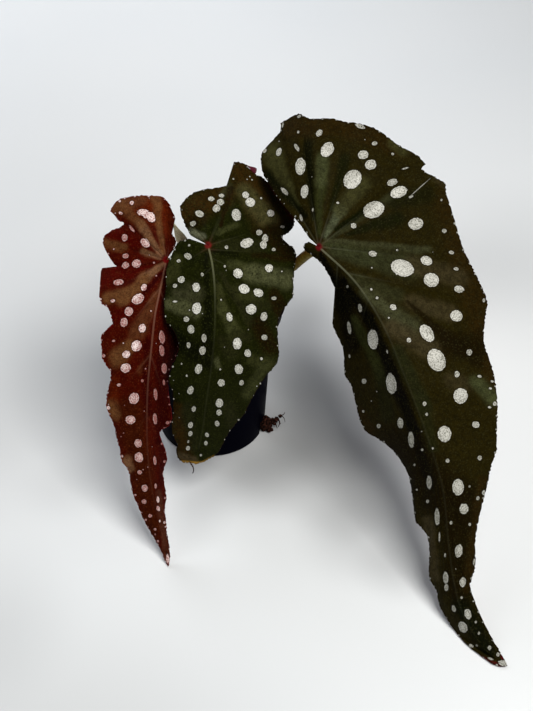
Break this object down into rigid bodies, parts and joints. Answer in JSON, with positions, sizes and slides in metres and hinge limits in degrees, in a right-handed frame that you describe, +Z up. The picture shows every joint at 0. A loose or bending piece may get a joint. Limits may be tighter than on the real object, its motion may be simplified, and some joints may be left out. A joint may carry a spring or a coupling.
{
  "type": "potted polka dot begonia",
  "caption": "Polka dot begonia: long wing shaped leaves with wavy margins on a short cane, in a round tapered nursery pot filled with soil.",
  "frame": {"origin": "centre of the pot's base, on the surface that it stands on", "axes": "+Z up along the pot's axis; -Y towards the front, over which the leaves hang; +X to the right as seen from the front, towards the largest leaf"},
  "size_m": [0.1941, 0.2068, 0.189],
  "materials": {
    "pot_plastic": "satin black nursery plastic with a faint blue cast",
    "soil": "loose dark potting compost",
    "stem": "smooth, green on one side and olive brown on the other",
    "leaf_dark": "satin, dark olive with silver white spots, maroon underneath",
    "leaf_green": "satin, dark green with silver white spots, maroon underneath",
    "leaf_red": "satin, red brown with pinkish white spots, maroon underneath",
    "stipule": "dry and papery",
    "roots": "rough, earthy"
  },
  "bodies": {
    "root": {"pot": "pot_plastic", "soil": "soil", "stem": "stem", "leaf_right": "leaf_dark", "leaf_middle": "leaf_green", "leaf_left": "leaf_red", "stipule": "stipule", "roots": "roots"}
  },
  "joints": []
}
